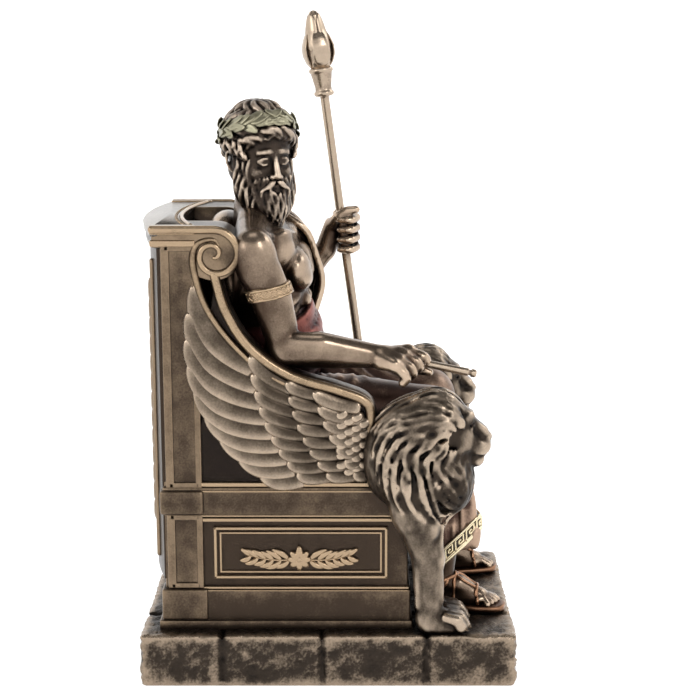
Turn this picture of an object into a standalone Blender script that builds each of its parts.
"""Cast figurine of a seated two-faced god of doorways on a throne with winged lion arms.

Sizes are millimetres in the functions and metres in the finished meshes. The origin is the
centre of the plinth's underside, +Z is up, the figure faces -Y and its right side is -X.
Flat work is built from boxes and prisms. Carved work is laid up as strokes of clay in a
grid of signed distances, skinned, thinned out and joined to the flat work.
"""
from itertools import permutations
from math import cos, pi, radians, sin

import bmesh
import bpy
import numpy as np
from mathutils import Matrix, Vector
from mathutils.bvhtree import BVHTree

MM = 0.001
FIT_GAP = 0.3
FAR = 60.0
FIRST_FACES = 30000
THINNING_TRIES = 16
THINNING_STEP = 17
SOFT = 2.0

# Plinth
PLINTH_LENGTH = 138.0
PLINTH_WIDTH = 94.0
PLINTH_HEIGHT = 19.7
PLINTH_ROUND = 2.5
PLINTH_JOINTS_Y = (39.0, 2.2, -35.6)
PLINTH_JOINTS_X = (-22.0, 22.0)
PLINTH_JOINT_DEPTH = 1.1
PLINTH_JOINT_WIDTH = 1.3
PLINTH_ROUGHNESS = 0.7
SINK = 3.0

# Throne, side faces at plus and minus THRONE_HALF
THRONE_HALF = 37.8
BODY_HALF = 36.2
THRONE_FRONT_Y = -29.8
FOOT_BACK_Y = 61.7
RAIL_BACK_Y = 60.0
POST_BACK_Y = 58.3
POST_FRONT_Y = 45.3
FOOT_TOP_Z = 22.7
BASE_RAIL_TOP_Z = 34.3
BASE_LINE_TOP_Z = 36.2
SEAT_RAIL_LOW_Z = 61.5
SEAT_RAIL_TOP_Z = 73.1
SEAT_LINE_TOP_Z = 75.2
SEAT_TOP_Z = 79.0
STEP = 0.8
POST_TOP_Z = 161.0
POST_BORDER = 2.2
POST_PANEL_DEPTH = 0.9
PANEL_Y = (-21.4, 41.5)
PANEL_Z = (38.4, 58.0)
PANEL_FRAME = 2.7
PANEL_PROUD = 1.3

# Curved back
BACK_SAG = 6.0
BACK_EDGE_Y = 59.5
BACK_THICKNESS = 11.0
BACK_LOW_Z = 40.0
BACK_HALF = 36.5
BACK_STEPS = 10

# Crest and scrolls
CREST_TOP_Z = 167.2
CREST_LOW_Z = 160.0
CREST_BAR = 2.8
CREST_GAP = 1.0
CREST_LOWER_BAR = 2.1
CREST_PROUD = 0.8
CREST_BACK_Y = 61.5
CREST_END_INNER_X = 19.0
SCROLL_CENTRE = (39.6, 157.2)
SCROLL_RADII = (8.6, 6.3, 4.3, 3.1, 1.9, 0.9)
SCROLL_BAND = (3.0, 1.5)
SCROLL_STEPS = 17

# Arms
ARM_INNER_X = 28.5
ARM_PATH = ((39.7, 150.7), (33.0, 131.5), (20.9, 118.3), (-2.5, 108.9), (-14.6, 103.6), (-14.6, 90.0), (-18.8, 78.0))
ARM_ROLL_HALF = (5.0, 2.4)
ARM_STEPS = 13

# Wing relief: each row runs between two curves given by start, middle pull and end
WING_TIPS = ((47.8, 147.5), (57.0, 107.0), (24.5, 79.5))
WING_ROW_1 = ((27.6, 120.5), (25.5, 95.0), (11.5, 79.0))
WING_ROW_2 = ((14.0, 112.0), (12.5, 93.0), (1.0, 79.0))
WING_ROW_3 = ((4.0, 108.5), (1.0, 92.0), (-8.5, 79.0))
WING_FRONT = ((-9.0, 104.0), (-12.5, 90.0), (-15.0, 79.0))
WING_COUNTS = (9, 8, 7, 6)
WING_LIFTS = (0.0, 0.5, 0.9, 1.3)
WING_BASE_X = 35.6
WING_FEATHER_HEIGHT = 1.9
WING_CELL = 0.8
WING_Y = (-16.4, 50.4)
WING_Z = (76.2, 149.4)
WING_FACES = 380

# Leaf spray in the lower panel
SPRAY_CENTRE = (10.6, 46.5)
SPRAY_REACH = 21.5
SPRAY_LEAVES = 6
SPRAY_LEAF = (7.2, 1.5)
SPRAY_HEIGHT = 1.5
SPRAY_FACES = 150

# Staff, its head and the key
STAFF_FOOT = (36.8, -11.0, 110.3)
STAFF_TOP = (40.36, 6.58, 240.1)
STAFF_RADIUS = 1.75
KEY_BACK = (-25.6, -30.0, 116.9)
KEY_FRONT = (-25.6, -53.5, 112.0)
KEY_RADIUS = 1.4

# Lion
LION_X = 36.8
LION_LEG_X = 4.7
LION_CELL = 1.0
LION_FACES = 950

# Figure
HEAD_CENTRE = (0.0, 25.6, 184.0)
HEAD_TURN = radians(31.0)
SHOULDER = (33.5, 27.0, 156.5)
RIGHT_ELBOW = (-30.5, 15.5, 121.5)
RIGHT_WRIST = (-30.0, -19.5, 119.3)
LEFT_ELBOW = (39.0, 20.0, 126.5)
LEFT_WRIST = (40.6, 2.0, 147.0)
HIP = (12.5, 24.0, 93.0)
KNEE = (15.5, -37.0, 94.0)
HEM_Z = 37.0
HEM_RISE = 8.0
HEM_PEAK_X = -5.0
RIGHT_HEEL = (-17.0, -42.5, 24.6)
LEFT_HEEL = (18.5, -43.5, 24.6)
TOE_REACH = 20.8
FIGURE_CELL = 1.0
FIGURE_FACES = 1900
HEAD_CELL = 0.7
HEAD_FACES = 950


def metal(name, colour, roughness, metallic):
    """A plain bronze-like material of one colour."""
    mat = bpy.data.materials.new(name)
    mat.use_nodes = True
    shader = mat.node_tree.nodes["Principled BSDF"]
    shader.inputs["Base Color"].default_value = (*colour, 1.0)
    shader.inputs["Roughness"].default_value = roughness
    shader.inputs["Metallic"].default_value = metallic
    mat.diffuse_color = (*colour, 1.0)
    return mat


def bend(ends, steps):
    """Points on the smooth curve through a start and an end, pulled towards a middle point."""
    start, pull, end = (np.array(p, float) for p in ends)
    t = np.linspace(0.0, 1.0, steps)[:, None]
    return (1 - t) ** 2 * start + 2 * t * (1 - t) * pull + t**2 * end


def flowing(points, steps):
    """Points evenly spaced in parameter on a smooth curve that passes through the given points."""
    p = np.array(points, float)
    p = np.vstack([2 * p[0] - p[1], p, 2 * p[-1] - p[-2]])
    t = np.linspace(0.0, len(points) - 1.0001, steps)
    k = t.astype(int)
    f = (t - k)[:, None]
    a, b, c, d = p[k], p[k + 1], p[k + 2], p[k + 3]
    return 0.5 * (2 * b + (c - a) * f + (2 * a - 5 * b + 4 * c - d) * f**2 + (3 * b - a - 3 * c + d) * f**3)


class Clay:
    """Signed distances on a regular grid, negative inside, with strokes that add or cut clay."""

    def __init__(self, low, high, cell, least_soft=0.0):
        self.low = np.array(low, float)
        self.cell = cell
        self.least_soft = least_soft
        self.size = np.ceil((np.array(high, float) - self.low) / cell).astype(int) + 1
        self.field = np.full(self.size, FAR, np.float32)

    def window(self, low, high):
        """The part of the grid between two corners, as slices and as coordinate arrays."""
        first = np.clip(np.floor((low - self.low) / self.cell).astype(int), 0, self.size - 1)
        last = np.clip(np.ceil((high - self.low) / self.cell).astype(int) + 1, 1, self.size)
        part = tuple(slice(a, b) for a, b in zip(first, last))
        axes = [self.low[i] + self.cell * np.arange(first[i], last[i]) for i in range(3)]
        return part, np.meshgrid(*axes, indexing="ij")

    def blend(self, part, distance, soft, cut):
        """Smooth union of a stroke with the clay, or smooth cut of it from the clay."""
        old = self.field[part]
        soft = max(soft, self.least_soft)
        sign = -1.0 if cut else 1.0
        a, b = sign * old, distance
        h = np.clip(0.5 + 0.5 * (a - b) / soft, 0.0, 1.0)
        self.field[part] = sign * (a + (b - a) * h - soft * h * (1 - h))

    def limb(self, points, radii, soft=1.5, metric=(1.0, 1.0, 1.0), cut=False):
        """A chain of tapered round strokes. A metric over 1 makes them thinner along that axis."""
        p, r = np.array(points, float), np.array(radii, float)
        reach = (r.max() / np.array(metric)) + soft + 2 * self.cell
        part, (x, y, z) = self.window(p.min(0) - reach, p.max(0) + reach)
        best = np.full(x.shape, FAR)
        mx, my, mz = metric
        for a, b, ra, rb in zip(p[:-1], p[1:], r[:-1], r[1:]):
            step = (b - a) * metric
            px, py, pz = (x - a[0]) * mx, (y - a[1]) * my, (z - a[2]) * mz
            t = np.clip((px * step[0] + py * step[1] + pz * step[2]) / max(step @ step, 1e-9), 0, 1)
            gap = np.sqrt((px - t * step[0]) ** 2 + (py - t * step[1]) ** 2 + (pz - t * step[2]) ** 2)
            best = np.minimum(best, gap - ra - t * (rb - ra))
        self.blend(part, best / max(metric), soft, cut)

    def ball(self, centre, radii, soft=1.5, turn=None, cut=False):
        """An ellipsoid, turned by a matrix whose rows are its own axes if one is given."""
        c, r = np.array(centre, float), np.array(radii, float)
        reach = (r.max() if turn is not None else r) + soft + 2 * self.cell
        part, (x, y, z) = self.window(c - reach, c + reach)
        q = [x - c[0], y - c[1], z - c[2]]
        if turn is not None:
            q = [sum(turn[i][j] * q[j] for j in range(3)) for i in range(3)]
        k0 = np.sqrt(sum((q[i] / r[i]) ** 2 for i in range(3))) + 1e-6
        k1 = np.sqrt(sum((q[i] / r[i] ** 2) ** 2 for i in range(3))) + 1e-6
        self.blend(part, k0 * (k0 - 1.0) / k1, soft, cut)

    def laid(self, points, depth=0.0):
        """Points moved to the clay's surface, or to a depth under it, along the steepest way."""
        p = np.array(points, float)
        for _ in range(5):
            g = np.clip((p - self.low) / self.cell, 0, self.size - 1.001)
            k = g.astype(int)
            f = g - k
            value, slope = 0.0, np.zeros(p.shape)
            for corner in range(8):
                bit = np.array([(corner >> i) & 1 for i in range(3)])
                w = np.where(bit, f, 1 - f)
                sample = self.field[tuple((k + bit).T)]
                value = value + w.prod(1) * sample
                for i in range(3):
                    rest = w[:, [j for j in range(3) if j != i]].prod(1)
                    slope[:, i] += (2 * bit[i] - 1) * rest * sample
            steep = slope / np.maximum(np.linalg.norm(slope, axis=1), 1e-6)[:, None]
            p = p - steep * np.clip(value + depth, -4.0, 4.0)[:, None]
        return p


def tetra_table():
    """For each of six tetrahedra of a cell and each pattern of inside corners, its faces."""
    corner = [np.array([(c >> i) & 1 for i in range(3)], float) for c in range(8)]
    table = []
    for a, b, _ in permutations(range(3)):
        tet = (0, 1 << a, (1 << a) | (1 << b), 7)
        for code in range(1, 15):
            inn = [tet[i] for i in range(4) if code >> i & 1]
            out = [tet[i] for i in range(4) if not code >> i & 1]
            if len(inn) == 2:
                ring = [(inn[0], out[0]), (inn[0], out[1]), (inn[1], out[1]), (inn[1], out[0])]
            elif len(inn) == 1:
                ring = [(inn[0], o) for o in out]
            else:
                ring = [(i, out[0]) for i in inn]
            mid = [(corner[i] + corner[o]) / 2 for i, o in ring]
            away = sum(corner[o] for o in out) / len(out) - sum(corner[i] for i in inn) / len(inn)
            if np.cross(mid[1] - mid[0], mid[2] - mid[0]) @ away < 0:
                ring.reverse()
            table.append((tet, code, [(ring[0], ring[k], ring[k + 1]) for k in range(1, len(ring) - 1)]))
    return table


def skin(clay):
    """The closed surface of the clay as vertices and triangles."""
    f = clay.field
    nx, ny, nz = f.shape
    inside = f < 0
    count = sum(inside[i : nx - 1 + i, j : ny - 1 + j, k : nz - 1 + k].astype(np.int8)
                for i in (0, 1) for j in (0, 1) for k in (0, 1))
    cells = np.argwhere((count > 0) & (count < 8))
    base = np.ravel_multi_index(cells.T, f.shape)
    offset = np.array([(c & 1) * ny * nz + (c >> 1 & 1) * nz + (c >> 2 & 1) for c in range(8)])
    ids = base[:, None] + offset
    flat = f.ravel()
    within = flat[ids] < 0
    total = flat.size
    pairs = []
    for tet, code, faces in tetra_table():
        pick = np.all([within[:, c] == bool(code >> i & 1) for i, c in enumerate(tet)], axis=0)
        chosen = ids[pick]
        for face in faces:
            keys = [np.minimum(chosen[:, i], chosen[:, o]) * total + np.maximum(chosen[:, i], chosen[:, o])
                    for i, o in face]
            pairs.append(np.stack(keys, axis=1))
    keys, tris = np.unique(np.concatenate(pairs), return_inverse=True)
    low, high = keys // total, keys % total
    t = np.clip(flat[low] / (flat[low] - flat[high]), 0.06, 0.94)[:, None]
    p = np.stack(np.unravel_index(low, f.shape), axis=1).astype(float)
    q = np.stack(np.unravel_index(high, f.shape), axis=1)
    return clay.low + clay.cell * (p + t * (q - p)), tris.reshape(-1, 3)


def to_object(name, verts, faces):
    """A mesh object from points in millimetres."""
    me = bpy.data.meshes.new(name)
    me.from_pydata((np.asarray(verts, float) * MM).tolist(), [], np.asarray(faces).tolist()
                   if isinstance(faces, np.ndarray) else faces)
    me.validate()
    ob = bpy.data.objects.new(name, me)
    bpy.context.scene.collection.objects.link(ob)
    return ob


def settle(ob):
    """Applies an object's modifiers to its mesh."""
    bpy.context.view_layer.update()
    graph = bpy.context.evaluated_depsgraph_get()
    me = bpy.data.meshes.new_from_object(ob.evaluated_get(graph))
    old = ob.data
    ob.modifiers.clear()
    ob.data = me
    bpy.data.meshes.remove(old)
    return ob


def largest_body(ob):
    """Keeps only the largest connected piece of a mesh, which also fills closed hollows."""
    bm = bmesh.new()
    bm.from_mesh(ob.data)
    seen, bodies = set(), []
    for start in bm.verts:
        if start.index in seen:
            continue
        seen.add(start.index)
        body, stack = [], [start]
        while stack:
            v = stack.pop()
            body.append(v)
            for e in v.link_edges:
                w = e.other_vert(v)
                if w.index not in seen:
                    seen.add(w.index)
                    stack.append(w)
        bodies.append(body)
    bodies.sort(key=len)
    for body in bodies[:-1]:
        bmesh.ops.delete(bm, geom=body, context="VERTS")
    bm.to_mesh(ob.data)
    bm.free()
    return ob


def thinned(ob, faces):
    """Thins a mesh to about a number of triangles."""
    mod = ob.modifiers.new("thin", "DECIMATE")
    mod.ratio = min(1.0, faces / max(1, len(ob.data.polygons)))
    return settle(ob)


def moulded(name, clay, faces):
    """Clay as a thinned closed mesh object, the try that crosses itself least."""
    fine = thinned(largest_body(to_object(name, *skin(clay))), FIRST_FACES)
    best, best_faults = None, None
    for attempt in range(THINNING_TRIES):
        ob = bpy.data.objects.new(name, fine.data.copy())
        bpy.context.scene.collection.objects.link(ob)
        thinned(ob, faces - THINNING_STEP * attempt)
        count = faults(ob)
        if best is None or count < best_faults:
            if best is not None:
                bpy.data.objects.remove(best)
            best, best_faults = ob, count
        else:
            bpy.data.objects.remove(ob)
        if not best_faults:
            break
    bpy.data.objects.remove(fine)
    return best


def crossings(bm):
    """Vertices of faces that cross a face which they share no corner with."""
    tree = BVHTree.FromBMesh(bm)
    corners = [{v.index for v in f.verts} for f in bm.faces]
    found = set()
    for a, b in tree.overlap(tree):
        if a < b and not corners[a] & corners[b]:
            found |= corners[a] | corners[b]
    return found


def faults(ob):
    """How many edges of a mesh lack two faces, plus how many points lie in crossing faces."""
    bm = bmesh.new()
    bm.from_mesh(ob.data)
    count = sum(not e.is_manifold for e in bm.edges) + len(crossings(bm))
    bm.free()
    return count


def box(name, x, y, z, bevel=0.0):
    """A box between pairs of limits, its edges chamfered if a bevel is given."""
    verts = [(x[i], y[j], z[k]) for i in (0, 1) for j in (0, 1) for k in (0, 1)]
    faces = [(0, 1, 3, 2), (4, 6, 7, 5), (0, 4, 5, 1), (2, 3, 7, 6), (0, 2, 6, 4), (1, 5, 7, 3)]
    ob = to_object(name, verts, faces)
    if bevel:
        mod = ob.modifiers.new("edges", "BEVEL")
        mod.width = bevel * MM
        mod.segments = 1
        mod.limit_method = "NONE"
        settle(ob)
    return ob


def prism(name, outline, low, high, axis):
    """An outline in the other two axes, carried along x or z between two limits."""
    n = len(outline)
    place = (lambda a, b, c: (c, a, b)) if axis == "x" else (lambda a, b, c: (a, b, c))
    verts = [place(a, b, low) for a, b in outline] + [place(a, b, high) for a, b in outline]
    faces = [tuple(range(n))[::-1], tuple(range(n, 2 * n))]
    faces += [(i, (i + 1) % n, n + (i + 1) % n, n + i) for i in range(n)]
    ob = to_object(name, verts, faces)
    bm = bmesh.new()
    bm.from_mesh(ob.data)
    bmesh.ops.recalc_face_normals(bm, faces=bm.faces)
    bm.to_mesh(ob.data)
    bm.free()
    return ob


def rod(name, stations, sides=14):
    """A round closed solid: each station is a point on its straight axis and a radius there."""
    axis = Vector(stations[-1][0]) - Vector(stations[0][0])
    turn = axis.to_track_quat("Z", "Y").to_matrix()
    verts, faces = [], []
    for point, radius in stations:
        for i in range(sides):
            a = 2 * pi * i / sides
            verts.append(Vector(point) + turn @ Vector((radius * cos(a), radius * sin(a), 0.0)))
    for k in range(len(stations) - 1):
        for i in range(sides):
            j = (i + 1) % sides
            faces.append((k * sides + i, k * sides + j, (k + 1) * sides + j, (k + 1) * sides + i))
    faces.append(tuple(range(sides))[::-1])
    faces.append(tuple(range((len(stations) - 1) * sides, len(stations) * sides)))
    return to_object(name, [tuple(v) for v in verts], faces)


def combine(ob, others, operation):
    """Joins other objects to a mesh, or cuts them from it, and removes them."""
    for other in others:
        before = ob.data.copy()
        for solver in ("EXACT", "MANIFOLD"):
            mod = ob.modifiers.new(operation.lower(), "BOOLEAN")
            mod.solver = solver
            mod.operation = operation
            mod.object = other
            settle(ob)
            if closed(ob):
                break
            if solver == "EXACT":
                ob.data = before.copy()
        bpy.data.objects.remove(other)
        bpy.data.meshes.remove(before)
    return ob


def closed(ob):
    """True if every edge of a mesh has two faces."""
    bm = bmesh.new()
    bm.from_mesh(ob.data)
    good = all(e.is_manifold for e in bm.edges)
    bm.free()
    return good


def flattened(ob):
    """Joins faces that lie in one plane."""
    mod = ob.modifiers.new("planes", "DECIMATE")
    mod.decimate_type = "DISSOLVE"
    mod.angle_limit = radians(0.4)
    return settle(ob)


def stroke_map(y, z, path, half, height, tip_share, tail_share):
    """Height over a plane of one long crowned leaf or feather along a path, and 0 elsewhere."""
    best, along = np.full(y.shape, FAR), np.zeros(y.shape)
    for k in range(len(path) - 1):
        (ay, az), (by, bz) = path[k], path[k + 1]
        dy, dz = by - ay, bz - az
        t = np.clip(((y - ay) * dy + (z - az) * dz) / (dy * dy + dz * dz), 0, 1)
        gap = np.hypot(y - ay - t * dy, z - az - t * dz)
        closer = gap < best
        best = np.where(closer, gap, best)
        along = np.where(closer, (k + t) / (len(path) - 1), along)
    ease = np.minimum(np.clip(along / tip_share, 0, 1), np.clip((1 - along) / tail_share, 0, 1))
    width = half * np.sqrt(np.clip(1 - (1 - ease) ** 2, 0.02, 1))
    return height * np.sqrt(np.clip(1 - (best / width) ** 2, 0, 1))


def wing_map(y, z):
    """Height of the folded wing: rows of overlapping feathers, each row lying over the last."""
    curves = [WING_TIPS, WING_ROW_1, WING_ROW_2, WING_ROW_3, WING_FRONT]
    height = np.zeros(y.shape)
    for row, count in enumerate(WING_COUNTS):
        tips, roots = bend(curves[row], count), bend(curves[row + 1], count)
        pitch = np.linalg.norm(np.diff(tips, axis=0), axis=1).mean()
        for k in range(count):
            span = roots[k] - tips[k]
            sag = np.array([0.10 * span[1], -0.10 * abs(span[0])])
            path = bend((tips[k], (tips[k] + roots[k]) / 2 + sag, roots[k] + 0.25 * span), 7)
            lift = WING_LIFTS[row] + 0.15 * (k % 2)
            crown = stroke_map(y, z, path, 0.60 * pitch, WING_FEATHER_HEIGHT, 0.22, 0.02)
            height = np.maximum(height, np.where(crown > 0.3, crown + lift, 0))
    return height


def spray_map(y, z):
    """Height of the leaf spray: a bud between two sprigs of paired leaves."""
    cy, cz = SPRAY_CENTRE
    length, half = SPRAY_LEAF
    height = stroke_map(y, z, [(cy, cz - 3.0), (cy, cz + 5.0)], 2.2, 1.5 * SPRAY_HEIGHT, 0.5, 0.5)
    for side in (-1, 1):
        stem = bend(((cy, cz), (cy + side * 11.0, cz - 2.5), (cy + side * SPRAY_REACH, cz + 4.0)), 9)
        height = np.maximum(height, stroke_map(y, z, stem, 0.7, SPRAY_HEIGHT, 0.1, 0.1))
        for k in range(SPRAY_LEAVES):
            root = stem[1 + k]
            for turn in (-1, 1):
                tip = root + np.array([side * length * 0.85, turn * (3.6 - 0.25 * k) + 0.8])
                leaf = stroke_map(y, z, [root, tip], half, SPRAY_HEIGHT, 0.5, 0.5)
                height = np.maximum(height, leaf)
    return height


def relief(name, heights, y_limits, z_limits, cell, base_x, back, faces):
    """A closed plate whose outer face, towards -X, stands out by a height map over y and z."""
    ys = np.arange(y_limits[0], y_limits[1] + cell / 2, cell)
    zs = np.arange(z_limits[0], z_limits[1] + cell / 2, cell)
    y, z = np.meshgrid(ys, zs, indexing="ij")
    h = heights(y, z)
    h[[0, -1], :] = 0
    h[:, [0, -1]] = 0
    n, m = y.shape
    front = np.stack([-(base_x + h), y, z], axis=-1).reshape(-1, 3)
    rear = np.stack([np.full(y.shape, -(base_x - back)), y, z], axis=-1).reshape(-1, 3)
    i, j = np.meshgrid(np.arange(n - 1), np.arange(m - 1), indexing="ij")
    a = (i * m + j).ravel()
    quads = np.stack([a, a + 1, a + m + 1, a + m], axis=1)
    count = n * m
    rim = np.concatenate([np.arange(m), np.arange(1, n) * m + m - 1,
                          (n - 1) * m + np.arange(m - 2, -1, -1), np.arange(n - 2, 0, -1) * m])
    nxt = np.roll(rim, -1)
    walls = np.stack([rim, nxt, nxt + count, rim + count], axis=1)
    tris = []
    for q in (quads, (quads + count)[:, ::-1], walls[:, ::-1]):
        tris += [q[:, [0, 1, 2]], q[:, [0, 2, 3]]]
    ob = to_object(name, np.concatenate([front, rear]), np.concatenate(tris))
    bm = bmesh.new()
    bm.from_mesh(ob.data)
    bmesh.ops.recalc_face_normals(bm, faces=bm.faces)
    bm.to_mesh(ob.data)
    bm.free()
    return thinned(ob, faces)


def mirror_copy(ob, name):
    """A copy of a mesh on the other side of x = 0, its faces still turned outwards."""
    copy = bpy.data.objects.new(name, ob.data.copy())
    bpy.context.scene.collection.objects.link(copy)
    copy.data.transform(Matrix.Diagonal((-1.0, 1.0, 1.0, 1.0)))
    copy.data.flip_normals()
    return copy


def make_plinth():
    """The rough stone block: chiselled faces, rounded edges and joints between its courses."""
    half = (PLINTH_WIDTH / 2, PLINTH_LENGTH / 2)
    clay = Clay((-half[0] - 4, -half[1] - 4, -6), (half[0] + 4, half[1] + 4, PLINTH_HEIGHT + 5), 1.4)
    part, (x, y, z) = clay.window(clay.low, clay.low + clay.cell * clay.size)
    mid = PLINTH_HEIGHT / 2 - SINK / 2
    q = [np.abs(x) - half[0] + PLINTH_ROUND, np.abs(y) - half[1] + PLINTH_ROUND,
         np.abs(z - mid) - (PLINTH_HEIGHT + SINK) / 2 + PLINTH_ROUND]
    outside = np.sqrt(sum(np.clip(v, 0, None) ** 2 for v in q))
    block = outside + np.clip(np.maximum(np.maximum(q[0], q[1]), q[2]), None, 0) - PLINTH_ROUND
    rough = sin_noise(x, y, z)
    groove = np.zeros(x.shape)
    for joint in PLINTH_JOINTS_Y:
        groove = np.maximum(groove, 1 - np.abs(y - joint) / PLINTH_JOINT_WIDTH)
    for joint in PLINTH_JOINTS_X:
        groove = np.maximum(groove, 1 - np.abs(x - joint) / PLINTH_JOINT_WIDTH)
    clay.field[part] = block + PLINTH_ROUGHNESS * (0.5 + 0.5 * rough) + PLINTH_JOINT_DEPTH * groove
    ob = moulded("plinth", clay, 420)
    return combine(ob, [box("below", (-60, 60), (-80, 80), (-20, 0))], "DIFFERENCE")


def sin_noise(x, y, z):
    """Uneven stone: three crossed waves of different lengths, between about -1 and 1."""
    a = np.sin(0.43 * x + 1.3 * np.sin(0.21 * y)) * np.cos(0.39 * y + 0.9 * np.sin(0.33 * z))
    b = np.sin(0.83 * y + 0.7 * x) * np.cos(0.71 * z - 0.5 * x)
    return 0.6 * a + 0.4 * b


def back_arc(offset, half, steps):
    """Plan curve of the back: points along x, furthest back in the middle."""
    x = np.linspace(-half, half, steps)
    return [(a, BACK_EDGE_Y + offset + BACK_SAG * (1 - (a / half) ** 2)) for a in x]


def scroll_band(extra=0.0):
    """Outline of the scroll's band: out along its outer edge and back along its inner one."""
    turns = np.linspace(0, len(SCROLL_RADII) - 1, SCROLL_STEPS)
    mid = np.interp(turns, range(len(SCROLL_RADII)), SCROLL_RADII)
    width = np.interp(turns, (0, len(SCROLL_RADII) - 1), SCROLL_BAND) + extra
    angle = pi / 2 + turns * pi / 2
    cy, cz = SCROLL_CENTRE
    outer = [(cy + (m + w / 2) * cos(a), cz + (m + w / 2) * sin(a)) for m, w, a in zip(mid, width, angle)]
    inner = [(cy + max(0.1, m - w / 2) * cos(a), cz + max(0.1, m - w / 2) * sin(a))
             for m, w, a in zip(mid, width, angle)]
    return outer, inner


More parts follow.
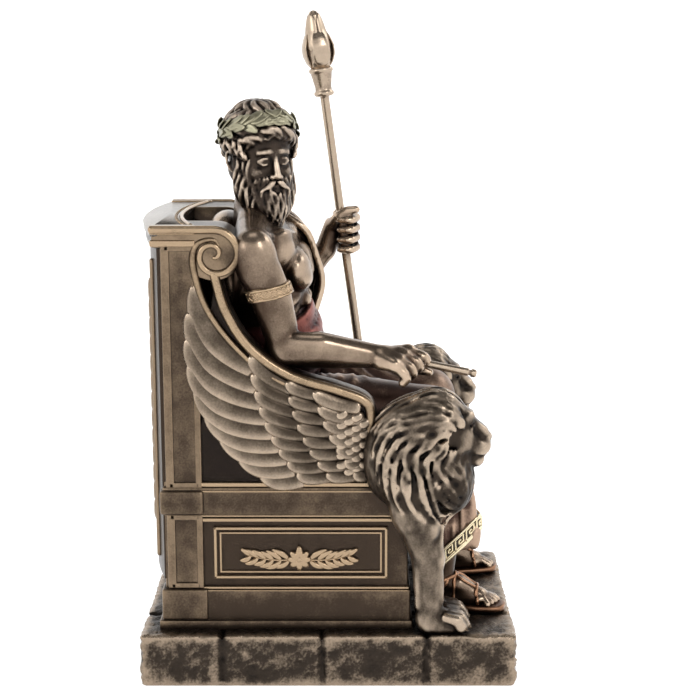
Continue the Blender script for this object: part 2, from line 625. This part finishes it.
def throne_parts():
    """The boxes and prisms of the throne, and the cutters for its sunk panels."""
    solids, cutters = [], []
    wide = (-BODY_HALF, BODY_HALF)
    solids.append(box("foot", (-THRONE_HALF - STEP, THRONE_HALF + STEP), (THRONE_FRONT_Y - STEP, FOOT_BACK_Y),
                      (PLINTH_HEIGHT - SINK, FOOT_TOP_Z), 0.5))
    solids.append(box("base_rail", (-THRONE_HALF, THRONE_HALF), (THRONE_FRONT_Y, RAIL_BACK_Y),
                      (FOOT_TOP_Z - 1, BASE_RAIL_TOP_Z), 0.6))
    solids.append(box("base_line", (-THRONE_HALF + STEP, THRONE_HALF - STEP), (THRONE_FRONT_Y + STEP, RAIL_BACK_Y - STEP),
                      (BASE_RAIL_TOP_Z - 1, BASE_LINE_TOP_Z), 0.6))
    solids.append(box("seat_rail", (-THRONE_HALF - 0.4, THRONE_HALF + 0.4), (THRONE_FRONT_Y, RAIL_BACK_Y),
                      (SEAT_RAIL_LOW_Z, SEAT_RAIL_TOP_Z), 1.0))
    solids.append(box("seat_line", (-THRONE_HALF + 0.2, THRONE_HALF - 0.2), (THRONE_FRONT_Y + STEP, RAIL_BACK_Y - STEP),
                      (SEAT_RAIL_TOP_Z - 1, SEAT_LINE_TOP_Z), 0.7))
    solids.append(box("seat", (-ARM_INNER_X - 1, ARM_INNER_X + 1), (THRONE_FRONT_Y + 1.5, 52.0),
                      (SEAT_LINE_TOP_Z - 2, SEAT_TOP_Z), 1.0))
    for s in (-1, 1):
        def span(inner, outer):
            return tuple(sorted((s * inner, s * outer)))
        solids.append(box("base_block", span(30, THRONE_HALF + 1.1), (POST_FRONT_Y - 1.2, RAIL_BACK_Y + 0.5),
                          (FOOT_TOP_Z + 0.4, BASE_RAIL_TOP_Z + 0.3), 1.0))
        solids.append(box("low_post", span(30, THRONE_HALF), (POST_FRONT_Y, POST_BACK_Y),
                          (BASE_LINE_TOP_Z - 2, SEAT_RAIL_LOW_Z + 1)))
        solids.append(box("seat_block", span(30, THRONE_HALF + 1.5), (POST_FRONT_Y - 0.3, RAIL_BACK_Y + 0.5),
                          (SEAT_RAIL_LOW_Z + 1.5, SEAT_RAIL_TOP_Z - 1.0), 1.3))
        solids.append(box("panel", span(34, BODY_HALF + PANEL_PROUD), PANEL_Y, PANEL_Z, 0.5))
        solids.append(box("post", span(30, THRONE_HALF), (POST_FRONT_Y, POST_BACK_Y),
                          (SEAT_LINE_TOP_Z - 1, POST_TOP_Z)))
        cutters.append(box("panel_cut", span(BODY_HALF, 45), (PANEL_Y[0] + PANEL_FRAME, PANEL_Y[1] - PANEL_FRAME),
                           (PANEL_Z[0] + PANEL_FRAME, PANEL_Z[1] - PANEL_FRAME)))
        for low, high in ((BASE_LINE_TOP_Z + 2.2, SEAT_RAIL_LOW_Z - 1.8), (SEAT_LINE_TOP_Z + 1.6, CREST_LOW_Z - 1.6)):
            cutters.append(box("post_cut", span(THRONE_HALF - POST_PANEL_DEPTH, 45),
                               (POST_FRONT_Y + POST_BORDER, POST_BACK_Y - POST_BORDER - 0.6), (low, high)))
        path = flowing(ARM_PATH, ARM_STEPS)
        wall = [tuple(p) for p in path] + [(-18.0, SEAT_RAIL_TOP_Z - 1), (48.0, SEAT_RAIL_TOP_Z - 1), (48.0, 151.0)]
        solids.append(prism("arm", wall, *span(ARM_INNER_X, WING_BASE_X + 0.2), "x"))
        solids.append(arm_roll("roll", path, s * (THRONE_HALF - ARM_ROLL_HALF[0])))
        outer, inner = scroll_band()
        ends = [(CREST_BACK_Y, CREST_LOW_Z), (CREST_BACK_Y, CREST_TOP_Z), (SCROLL_CENTRE[0] + 2, CREST_TOP_Z)]
        solids.append(prism("scroll", ends + outer[: SCROLL_STEPS // 2] + [(47.0, 154.0), (47.0, CREST_LOW_Z)],
                            *span(CREST_END_INNER_X, THRONE_HALF), "x"))
        solids.append(prism("scroll_band", outer + inner[::-1], *span(THRONE_HALF - 2, THRONE_HALF + CREST_PROUD), "x"))
        solids.append(box("upper_bar", span(THRONE_HALF - 3, THRONE_HALF + CREST_PROUD),
                          (SCROLL_CENTRE[0] - 0.5, CREST_BACK_Y + 0.4), (CREST_TOP_Z - CREST_BAR, CREST_TOP_Z + 0.1)))
        low = CREST_TOP_Z - CREST_BAR - CREST_GAP
        solids.append(box("lower_bar", span(THRONE_HALF - 3, THRONE_HALF + CREST_PROUD),
                          (46.0, CREST_BACK_Y + 0.4), (low - CREST_LOWER_BAR, low)))
    solids.append(box("core", wide, (THRONE_FRONT_Y + 1, POST_BACK_Y + 1), (PLINTH_HEIGHT - SINK, SEAT_LINE_TOP_Z - 0.5)))
    outer, inner = back_arc(0.0, BACK_HALF, BACK_STEPS), back_arc(-BACK_THICKNESS, BACK_HALF - 4, BACK_STEPS)
    solids.append(prism("back", outer + inner[::-1], BACK_LOW_Z, CREST_LOW_Z + 1, "z"))
    outer, inner = back_arc(1.6, THRONE_HALF - 0.3, BACK_STEPS), back_arc(-BACK_THICKNESS - 1, BACK_HALF - 2, BACK_STEPS)
    solids.append(prism("crest", outer + inner[::-1], CREST_LOW_Z - 0.3, CREST_TOP_Z - 0.4, "z"))
    return solids, cutters


def arm_roll(name, path, centre_x):
    """The rounded top of an arm: an eight-sided oval section carried along its path."""
    sides = 6
    p = np.array(path)
    along = np.gradient(p, axis=0)
    along /= np.linalg.norm(along, axis=1)[:, None]
    normal = np.stack([-along[:, 1], along[:, 0]], axis=1)
    verts, faces = [], []
    for (y, z), (ny, nz) in zip(p, normal):
        for i in range(sides):
            a = 2 * pi * (i + 0.5) / sides
            across, up = ARM_ROLL_HALF[0] * cos(a), ARM_ROLL_HALF[1] * sin(a)
            verts.append((centre_x + across, y + up * ny, z + up * nz))
    for k in range(len(p) - 1):
        for i in range(sides):
            j = (i + 1) % sides
            faces.append((k * sides + i, k * sides + j, (k + 1) * sides + j, (k + 1) * sides + i))
    faces += [tuple(range(sides))[::-1], tuple(range((len(p) - 1) * sides, len(p) * sides))]
    ob = to_object(name, verts, faces)
    bm = bmesh.new()
    bm.from_mesh(ob.data)
    bmesh.ops.recalc_face_normals(bm, faces=bm.faces)
    bm.to_mesh(ob.data)
    bm.free()
    return ob


def lion_clay(clay, centre_x, locks):
    """The front half of a standing lion, its centre plane at centre_x."""
    def at(points):
        return [(centre_x + x, y, z) for x, y, z in points]
    for s in (-1, 1):
        leg = LION_LEG_X * s
        clay.limb(at([(leg, -27, 76), (leg * 1.05, -31, 62), (leg * 1.05, -35, 50), (leg, -36, 38), (leg, -36.5, 27)]),
                  (8.5, 7.2, 6.4, 5.2, 4.9), 2.0, (1.25, 1, 1))
        clay.limb(at([(leg, -37, 24), (leg, -44, 23.4)]), (5.0, 4.6), 1.5, (1.1, 1, 1))
        for k in range(4):
            x = leg + (k - 1.5) * 2.3
            clay.limb(at([(x, -43.5, 25.4), (x, -48.0, 23.6), (x, -49.6, 21.8)]), (1.6, 1.7, 1.4), 0.5)
    clay.ball(at([(0, -23, 84)])[0], (8.8, 11, 17), 3)
    clay.ball(at([(0, -31, 90)])[0], (9.8, 13.5, 16), 3)
    clay.ball(at([(0, -41, 73)])[0], (8.6, 11, 11), 3)
    clay.ball(at([(0, -38.5, 96)])[0], (9.6, 10.5, 12.5), 2)
    mane_clay(clay, centre_x, locks)
    clay.ball(at([(0, -46.5, 95)])[0], (7.2, 7, 8.0), 0.8)
    clay.limb(at([(0, -47.5, 91.0), (0, -53.6, 88.8)]), (6.2, 5.0), 1.2)
    for s in (-1, 1):
        clay.limb(at([(1.4 * s, -48.5, 98.6), (1.2 * s, -55.6, 93.6)]), (2.3, 2.2), 1.0)
    clay.ball(at([(0, -56.9, 92.0)])[0], (2.9, 1.8, 1.9), 0.6)
    clay.ball(at([(0, -52.6, 83.6)])[0], (4.0, 3.2, 3.0), 1.0)
    for s in (-1, 1):
        clay.ball(at([(3.7 * s, -50.0, 98.6)])[0], (2.8, 2.2, 1.6), 0.8)
        clay.ball(at([(4.3 * s, -51.0, 95.2)])[0], (1.7, 1.9, 1.4), 0.5, None, True)
        clay.ball(at([(3.7 * s, -50.4, 95.0)])[0], (1.6, 1.6, 1.3), 0.3)
        clay.ball(at([(2.4 * s, -54.6, 88.4)])[0], (3.0, 3.2, 2.8), 0.8)
        clay.limb(at([(4.4 * s, -52.6, 85.4), (2.0 * s, -57.0, 86.0), (0, -58.2, 87.2)]), (0.7, 0.7, 0.7), 0.5, cut=True)
        clay.ball(at([(6.4 * s, -43.4, 103.6)])[0], (1.6, 1.9, 2.0), 0.8)


def mane_clay(clay, centre_x, locks):
    """Wavy locks laid on the lion's neck and chest, each pointing back and down from the face."""
    for ring, (count, start, length, thick) in enumerate(locks):
        for k in range(count):
            a = radians(-118 + 205 * (k + 0.5 * (ring % 2)) / (count - 0.5))
            for s in (-1, 1):
                path = []
                for step in range(4):
                    reach = start + length * step / 3
                    swing = a - 0.10 * step - 0.16 * sin(2.3 * k + 1.9 * ring + 1.6 * step)
                    side = 4.0 + 3.5 * min(1.0, reach / 14.0)
                    path.append((centre_x + side * s, -44.0 + 0.8 * reach * max(cos(swing), -0.2),
                                 91.0 + 0.8 * reach * (0.75 if swing > 0 else 1.2) * sin(swing)))
                clay.limb(clay.laid(path, 0.2), (0.8 * thick, thick, thick, 0.4 * thick), 0.45)
    for k in range(5):
        for row in range(3):
            x = centre_x + (k - 2 + 0.5 * (row % 2)) * 3.4
            top = 82.0 - 5.0 * row
            path = [(x, -46.5, top), (x + 0.8 * sin(2.0 * k + row), -47.0, top - 4.0), (x, -45.0, top - 8.5)]
            clay.limb(clay.laid(path, 0.1), (1.5, 1.9, 0.7), 0.45)


def head_frame(sign):
    """Forward, side and up directions of the front face, or of the back face for -1."""
    forward = np.array((-cos(HEAD_TURN), -sin(HEAD_TURN), 0.0)) * sign
    up = np.array((0.0, 0.0, 1.0))
    return np.array((forward, np.cross(up, forward), up))


def head_clay(clay, strands):
    """The head: one skull with a bearded face in front and a smooth younger one behind."""
    centre = np.array(HEAD_CENTRE)
    for sign in (1, -1):
        axes = head_frame(sign)

        def at(points):
            return [centre + np.array(p) @ axes for p in points]

        def lump(point, radii, soft=1.0, cut=False):
            clay.ball(at([point])[0], radii, soft, axes, cut)
        lump((0.0, 0, 3.0), (12.6, 10.9, 14.6), 1.0)
        lump((4.8, 0, -7.5), (7.2, 7.4, 9.2), 2.0)
        lump((9.3, 0, -14.8), (2.9, 3.6, 2.8), 1.6)
        clay.limb(at([(10.6, -5.2, 4.0), (11.6, 0, 4.4), (10.6, 5.2, 4.0)]), (1.7, 1.6, 1.7), 1.2)
        for s in (-1, 1):
            lump((8.0, 5.4 * s, -3.2), (3.4, 3.2, 3.2), 1.6)
            lump((12.2, 4.2 * s, 0.4), (2.3, 2.6, 1.9), 0.8, True)
            lump((10.0, 4.1 * s, 0.3), (2.2, 2.3, 1.9), 0.4)
            clay.limb(at([(11.2, 1.9 * s, 0.9), (12.2, 4.1 * s, 1.7), (10.6, 6.4 * s, 0.6)]), (0.5, 0.6, 0.5), 0.3)
            clay.limb(at([(11.2, 2.0 * s, -0.4), (11.9, 4.1 * s, -1.3), (10.6, 6.3 * s, -0.5)]), (0.4, 0.5, 0.4), 0.3)
            lump((13.0, 1.5 * s, -5.4), (1.5, 1.1, 1.1), 0.6)
            lump((0.2, 11.0 * s, -0.8), (2.3, 1.5, 3.9), 0.6)
        clay.limb(at([(11.6, 0, 3.0), (13.4, 0, -1.2), (14.9, 0, -4.8)]), (1.1, 1.2, 1.5), 0.8)
        clay.limb(at([(12.0, -2.6, -9.3), (12.9, 0, -8.7), (12.0, 2.6, -9.3)]), (0.8, 0.9, 0.8), 0.5)
        clay.limb(at([(11.7, -2.2, -10.6), (12.5, 0, -11.0), (11.7, 2.2, -10.6)]), (0.8, 1.0, 0.8), 0.5)
        if sign == 1:
            beard_clay(clay, at, strands)
        hair_clay(clay, at, strands)
    clay.limb([(-0.3, 26.3, 164), (0, 25.8, 178)], (8.0, 8.6), 1.5)
    wreath_clay(clay, centre, strands)


def beard_clay(clay, at, strands):
    """A full beard in wavy locks from the jaw to a pointed end, and a drooping moustache."""
    clay.limb(at([(6.5, 0, -12), (8.5, 0, -17), (10.0, 0, -21.0)]), (6.6, 5.2, 2.6), 1.5)
    for s in (-1, 1):
        clay.limb(at([(1.5, 9.0 * s, -4.0), (5.0, 7.4 * s, -11), (8.0, 3.6 * s, -17.5)]), (2.4, 3.4, 3.2), 1.5)
        clay.limb(at([(13.6, 0.7 * s, -7.2), (12.9, 3.4 * s, -8.6), (11.4, 5.2 * s, -12.5)]), (0.9, 1.2, 0.7), 0.4)
    count = strands
    for k in range(count):
        share = (k + 0.5) / count * 2 - 1
        spread = abs(share)
        wave = 0.8 * sin(5.1 * k)
        top = (11.8 - 9.0 * spread**1.6, 10.2 * share, -11.0 + 8.0 * spread**2)
        mid = (11.6 - 6.0 * spread**1.5, 7.6 * share + wave, -15.5 + 1.5 * spread)
        low = (10.9 - 2.6 * spread, 3.6 * share - wave, -22.4 + 3.6 * spread + 0.9 * sin(3.3 * k))
        size = 1.45 - 0.02 * count
        clay.limb(at(flowing([top, mid, low], 5)), (size, 1.1 * size, size, 0.9 * size, 0.5 * size), 0.35)


def hair_clay(clay, at, strands):
    """Locks combed from the crown to the brow, and round curls at the temples and ears."""
    count = strands
    for k in range(count):
        a = pi * (k + 0.5) / count - pi / 2
        ca, sa = cos(a), sin(a)
        path = [(1.5 * ca, 1.5 * sa, 18.2), (8.0 * ca, 6.9 * sa, 15.9), (11.6 * ca, 9.9 * sa, 11.8 - 1.5 * abs(sa))]
        clay.limb(at(flowing(path, 5)), (1.2, 1.5, 1.7, 1.7, 1.2), 0.4)
    curls = max(5, count // 2)
    for k in range(curls + 1):
        a = pi * k / curls - pi / 2
        ca, sa = cos(a), sin(a)
        drop = 9.4 - 5.0 * sa * sa
        turn = 0.9 * sin(2.7 * k)
        path = [(12.3 * ca, 10.9 * sa, drop + 1.8), (13.1 * ca, (11.8 * sa + turn), drop),
                (12.5 * ca, (11.3 * sa + 1.3 * turn), drop - 1.8)]
        clay.limb(at(path), (1.7, 1.8, 1.1), 0.5)
    for s in (-1, 1):
        for k in range(3):
            clay.limb(at([(1.0 + 1.6 * k, 11.0 * s, 5.5 - 1.0 * k), (1.6 + 1.3 * k, 12.0 * s, 2.6 - k),
                          (0.5 + 1.2 * k, 11.3 * s, 0.2 - k)]), (1.6, 1.7, 1.0), 0.5)


def wreath_clay(clay, centre, strands):
    """A laurel wreath: a thin twig round the crown with overlapping leaves set in pairs."""
    def ring(a, out=0.0, lift=0.0):
        local = np.array(((12.9 + out) * cos(a), (11.9 + out) * sin(a), 13.9 + 2.2 * cos(2 * a) + lift))
        return centre + local @ head_frame(1)
    twig = [ring(2 * pi * k / 24) for k in range(25)]
    clay.limb(twig, [0.9] * 25, 0.4)
    pairs = strands + 2
    for k in range(pairs):
        for row in (-1, 1):
            for way in (-1, 1):
                a = way * pi * (k + 0.5 + 0.25 * row) / pairs
                reach = way * 0.46
                leaf = [ring(a, 0.2, 0), ring(a - 0.5 * reach, 1.3, 1.7 * row), ring(a - reach, 1.5, 2.9 * row)]
                clay.limb(leaf, (0.7, 1.35, 0.35), 0.3)


def figure_clay(clay, folds):
    """The seated body with bare chest and arms, cloth over lap, legs and left shoulder."""
    sx, sy, sz = SHOULDER
    clay.ball((0, 27, 93), (19, 16, 14), 2)
    clay.limb([(0, 27, 96), (0, 24, 112), (0, 22, 124)], (14.5, 13.5, 14.5), 3, (0.86, 1, 1))
    clay.ball((0, 23, 140), (20.5, 15.5, 21), 4)
    for s in (-1, 1):
        clay.ball((9.6 * s, 12.6, 147.5), (10.4, 5.6, 8.0), 2.6)
        clay.limb([(3 * s, 27, 168), (17 * s, 27.5, 162.5), (sx * s, sy, 159)], (6.0, 6.2, 6.6), 3)
        clay.ball((sx * s, sy - 0.5, 154.5), (8.6, 9.0, 11.5), 3)
        clay.limb([(5 * s, 9.5, 163), (18 * s, 13, 163.5), (29 * s, 19, 162)], (1.8, 1.7, 1.8), 2)
        clay.ball((12 * s, 36, 148), (10, 6, 13), 3)
        clay.ball((4.6 * s, 10.5, 130), (5.0, 3.4, 9.5), 3)
    clay.limb([(0, 27, 160), (-0.5, 26, 172)], (9.0, 8.2), 2.5)
    arm_clay(clay)
    hand_clay(clay)
    legs_clay(clay)
    cloth_clay(clay, folds)


def arm_clay(clay):
    """Both arms: the right one along the armrest, the left one raised to the staff."""
    sx, sy, sz = SHOULDER
    ex, ey, ez = RIGHT_ELBOW
    clay.limb([(-sx, sy, sz - 2), (-32.8, 21.0, 141), (ex, ey + 1, ez + 4)], (8.0, 7.1, 6.3), 2)
    clay.limb([RIGHT_ELBOW, (ex, 3.5, 122.6), RIGHT_WRIST], (6.3, 6.9, 4.7), 2, (1, 1, 1.05))
    clay.limb([(-33.0, 22.2, 144.8), (-32.8, 21.0, 141.0)], (7.9, 7.8), 0.5)
    clay.limb([(sx, sy, sz - 2), (36.5, 24.0, 142), LEFT_ELBOW], (8.0, 7.2, 5.9), 2)
    clay.limb([LEFT_ELBOW, (40.2, 12.5, 135.5), LEFT_WRIST], (5.9, 6.1, 4.2), 2)


def hand_clay(clay):
    """The right hand laid over the key, and the left fist closed round the staff."""
    wx, wy, wz = RIGHT_WRIST
    clay.limb([RIGHT_WRIST, (wx - 1.4, -24.5, 118.2), (wx - 2.6, -26.0, 116.6)], (4.3, 3.6, 3.0), 1.5, (1, 1, 1.1))
    clay.limb([RIGHT_WRIST, (wx + 1.6, -26.0, 120.3), (wx + 2.8, -30.5, 120.6)], (4.4, 3.7, 3.0), 1.5, (1, 1, 1.1))
    for k in range(4):
        x = -34.2 + 2.75 * k
        knuckle = (x, -25.6 - 1.6 * k, 116.2 + 1.4 * k)
        joint = (x - 0.2, -28.8 - 1.9 * k, 113.9 + 1.8 * k)
        tip = (x + 0.2, -28.1 - 2.6 * k, 110.0 + 2.3 * k)
        clay.limb([knuckle, joint, tip], (2.2, 2.0, 1.6), 0.5)
    clay.limb([(-27.5, -22.0, 117.0), (-24.6, -28.5, 113.6), (-25.0, -36.0, 111.6)], (2.8, 2.2, 1.8), 0.8)
    foot, top = np.array(STAFF_FOOT), np.array(STAFF_TOP)
    for_height = (153.0 - foot[2]) / (top[2] - foot[2])
    cx, cy, _ = foot + for_height * (top - foot)
    clay.limb([LEFT_WRIST, (cx + 3.0, 0.6, 151.0), (cx + 2.4, -1.0, 156.5)], (4.2, 4.6, 3.6), 1.2)
    for k in range(4):
        z = 159.6 - 4.0 * k
        path = [(cx + 4.8, cy + 1.5, z + 0.6), (cx + 4.0, cy - 4.2, z), (cx - 1.0, cy - 5.0, z - 0.3),
                (cx - 4.6, cy - 1.6, z - 0.5), (cx - 3.4, cy + 2.6, z - 0.4)]
        clay.limb(path, (2.3, 2.3, 2.3, 2.2, 1.8), 0.4)
    clay.limb([(cx + 1.5, cy + 5.5, 156.5), (cx - 3.0, cy + 1.0, 161.6), (cx - 2.6, cy - 4.4, 163.0)], (2.8, 2.3, 1.7), 0.6)


def legs_clay(clay):
    """The sandalled feet and ankles below the hem."""
    for (hx, hy, hz), out in ((RIGHT_HEEL, -0.10), (LEFT_HEEL, 0.28)):
        knee_x = KNEE[0] * (1 if hx > 0 else -1)
        clay.limb([(knee_x, KNEE[1] - 1, 60), (hx, hy - 0.5, 34), (hx, hy, hz + 1)], (7.5, 4.8, 4.4), 2)
        toe = np.array((hx + out * TOE_REACH, hy - TOE_REACH, 21.6))
        ball = np.array((hx + 0.68 * out * TOE_REACH, hy - 0.68 * TOE_REACH, 24.0))
        clay.limb([(hx, hy - 1, 29.5), (hx + 0.2 * out * TOE_REACH, hy - 6, 29.0), ball], (4.4, 4.2, 3.5), 1.5)
        clay.limb([(hx, hy + 2, hz - 0.6), ball - (0, 0, 0.6)], (3.8, 4.2), 1.5)
        for k in range(5):
            side = (k - 2) * 1.9
            tip = toe + (side, 1.2 * abs(k - (1 if hx > 0 else 3)) ** 1.2, 0.6)
            clay.limb([ball + (side * 0.8, 0, 0), (ball + tip) / 2 + (side * 0.1, 0, 1.3), tip], (1.7, 1.6, 1.3), 0.4)
        clay.limb([(hx, hy + 3, 20.2), ball + (0, 0, -3.8), toe + (0, -0.6, -1.4)], (4.9, 5.8, 4.4), 0.3, (1, 1, 3.2))
        clay.limb([(hx, hy - 5.0, 31.8), ball + (0, 0, 1.2)], (1.5, 1.5), 0.3)
        for s in (-1, 1):
            clay.limb([(hx + 0.3 * out * TOE_REACH, hy - 7.0, 32.4), (hx + 4.6 * s, hy - 6.0, 27.5),
                       (hx + 4.6 * s, hy - 5.0, 22.5)], (1.2, 1.3, 1.2), 0.3)


def cloth_clay(clay, folds):
    """Cloth: a mantle over the left shoulder, a roll at the waist, the lap and the skirt."""
    kx, ky, kz = KNEE
    for s in (-1, 1):
        clay.limb([(HIP[0] * s, HIP[1], HIP[2]), (13.5 * s, -5, 96), (kx * s, ky, kz)], (15.0, 13.5, 11.4), 3)
        clay.limb([(kx * s, ky, kz - 1), (kx * s, ky - 2.0, 70), (16.5 * s, ky - 4.0, HEM_Z + 3)], (11.2, 9.4, 8.2), 3)
    clay.ball((0, -31, 66), (17, 11.5, 31), 3)
    clay.limb([(-24, 10, 84), (24, 10, 84)], (8.5, 8.5), 3, (1, 0.55, 1))
    for k in range(folds):
        share = (k + 0.5) / folds * 2 - 1
        x = 22.0 * share
        bow = abs(abs(x) - kx) / kx
        front = ky - 13.4 + 3.0 * bow**1.3 + 6.0 * max(0.0, abs(x) - kx) / kx
        top = kz + 3.5 - 5.0 * bow
        low = HEM_Z + HEM_RISE * (1 - abs(x - HEM_PEAK_X) / 27.0) + 0.8 * sin(2.1 * k)
        path = [(0.92 * x, front + 3.0, top), (x, front + 0.6, 0.55 * top + 0.45 * low),
                (1.05 * x + 1.2 * sin(1.9 * k), front - 0.8, low)]
        clay.limb(flowing(path, 5), (1.0, 1.7, 2.1, 2.3, 2.4), 1.2)
    for k in range(folds):
        share = (k + 0.5) / folds
        start = (21.5 - 4 * share, 12 - 6 * share, 104 - 2 * share)
        end = (-24.0 + 30 * share * share, 6.0 - 40 * share, 98.5 + 3.0 * sin(pi * share))
        mid = ((start[0] + end[0]) / 2, (start[1] + end[1]) / 2 - 2, 103.5 - 3.5 * share)
        clay.limb(flowing([start, mid, end], 6), (1.6, 2.1, 2.3, 2.3, 2.1, 1.2), 1.2)
    for k in range(3):
        path = [(23, 24 - k, 112 + 3 * k), (15, 9 - k, 110 + 4 * k), (0, 5.4 - k, 108.5 + 4.6 * k), (-15, 11 - k, 107.5 + 3.6 * k),
                (-22, 24, 106 + 2.5 * k)]
        clay.limb(flowing(path, 9), (2.4, 3.0, 3.2, 3.2, 3.2, 3.2, 3.0, 2.8, 2.4), 1.0)
    for k in range(5):
        lean = 3.4 * k
        path = [(27 + 1.6 * k, 38 - k, 158), (25 + 2.2 * k, 27 - k, 168 - 1.1 * k), (19.5 + lean * 0.9, 13 + 0.9 * k, 163 - k),
                (17.0 + 0.8 * lean, 6.6 + 1.6 * k, 146), (15.5 + 0.8 * lean, 6.0 + 2.6 * k, 128), (13 + lean, 6 + 3 * k, 112)]
        clay.limb(flowing(path, 11), [2.4, 2.6, 2.7, 2.6, 2.4, 2.4, 2.5, 2.6, 2.7, 2.8, 2.6], 1.2)
    clay.limb([(8, 38, 160), (10, 40, 138), (8, 38, 106)], (7.0, 7.5, 7.5), 3, (0.5, 1, 1))


def make_statue():
    """Plinth, throne, lions and figure, cast as one piece."""
    solids, cutters = throne_parts()
    statue = combine(make_plinth(), solids, "UNION")
    combine(statue, cutters, "DIFFERENCE")
    flattened(statue)
    wing = relief("wing", wing_map, WING_Y, WING_Z, WING_CELL, WING_BASE_X, 1.0, WING_FACES)
    edge = [tuple(p) for p in flowing(ARM_PATH, ARM_STEPS)][:-1]
    edge += [(WING_Y[0] - 2, WING_Z[0] + 2), (WING_Y[0] - 2, WING_Z[0] - 2), (WING_Y[1] + 2, WING_Z[0] - 2),
             (WING_Y[1] + 2, WING_Z[1] + 2), (edge[0][0], WING_Z[1] + 2)]
    combine(wing, [prism("wing_edge", edge, -THRONE_HALF - 9, -ARM_INNER_X, "x")], "INTERSECT")
    spray = relief("spray", spray_map, (SPRAY_CENTRE[0] - 30, SPRAY_CENTRE[0] + 30), (41.4, 54.6),
                   0.55, BODY_HALF - 0.3, 1.0, SPRAY_FACES)
    combine(statue, [wing, mirror_copy(wing, "wing_l"), spray, mirror_copy(spray, "spray_l")], "UNION")
    clay = Clay((-LION_X - 15, -64, 14), (-LION_X + 15, -6, 118), LION_CELL, 1.1 * SOFT)
    lion_clay(clay, -LION_X, ((7, 19.0, 9.0, 2.3), (7, 13.0, 9.0, 2.3), (6, 8.0, 8.0, 2.0)))
    lion = moulded("lion", clay, LION_FACES)
    clay = Clay((-52, -76, 14), (52, 60, 216), FIGURE_CELL, SOFT)
    figure_clay(clay, 7)
    figure = moulded("figure", clay, FIGURE_FACES)
    clay = Clay((-24, 2, 156), (24, 50, 214), HEAD_CELL, 0.9 * SOFT)
    head_clay(clay, 7)
    head = moulded("head", clay, HEAD_FACES)
    combine(statue, [lion, mirror_copy(lion, "lion_l"), figure, head], "UNION")
    gaps = [rod("staff_gap", ((STAFF_FOOT, STAFF_RADIUS + FIT_GAP), (STAFF_TOP, STAFF_RADIUS + FIT_GAP)), 12),
            rod("key_gap", ((KEY_BACK, KEY_RADIUS + FIT_GAP), (KEY_FRONT, KEY_RADIUS + FIT_GAP)), 12)]
    for gap in gaps:
        gap.hide_render = True
        gap.display_type = "WIRE"
    combine(statue, gaps, "DIFFERENCE")
    largest_body(statue)
    statue.name = "statue"
    statue.data.name = "statue"
    return statue


def make_staff():
    """The staff: a straight round rod with two rings and a closed bud of petals on top."""
    foot, top = np.array(STAFF_FOOT), np.array(STAFF_TOP)
    axis = (top - foot) / np.linalg.norm(top - foot)
    length = np.linalg.norm(top - foot)
    foot_at = FIT_GAP
    profile = ((foot_at, 1.45), (foot_at + 0.3, STAFF_RADIUS), (length - 30.0, STAFF_RADIUS), (length - 29.4, 3.3),
               (length - 27.8, 3.3), (length - 27.2, 2.7), (length - 20.0, 3.6), (length - 19.4, 4.4),
               (length - 18.0, 4.4), (length - 17.4, 3.4), (length - 12.5, 5.4), (length - 9.5, 5.5),
               (length - 4.5, 3.8), (length - 2.0, 3.2), (length, 1.6))
    return rod("staff", [(tuple(foot + axis * d), r) for d, r in profile], 14)


def make_key():
    """The key's round shank with a rounded nose and a collar behind it."""
    back, front = np.array(KEY_BACK), np.array(KEY_FRONT)
    length = np.linalg.norm(front - back)
    axis = (front - back) / length
    profile = ((FIT_GAP, 1.1), (FIT_GAP + 0.3, KEY_RADIUS), (length - 3.0, KEY_RADIUS), (length - 2.8, 1.1),
               (length - 2.0, 1.1), (length - 1.8, 1.5), (length - 0.6, 1.5), (length, 0.9))
    return rod("key", [(tuple(back + axis * d), r) for d, r in profile], 12)


def main():
    for ob in list(bpy.data.objects):
        bpy.data.objects.remove(ob)
    bronze = metal("bronze", (0.20, 0.145, 0.105), 0.42, 0.85)
    gilt = metal("gilt_bronze", (0.36, 0.25, 0.15), 0.38, 0.9)
    for ob, mat in ((make_statue(), bronze), (make_staff(), gilt), (make_key(), gilt)):
        ob.data.materials.clear()
        ob.data.materials.append(mat)
        ob.data.shade_smooth()
        ob.data.set_sharp_from_angle(angle=radians(35.0))


if __name__ == "__main__":
    main()
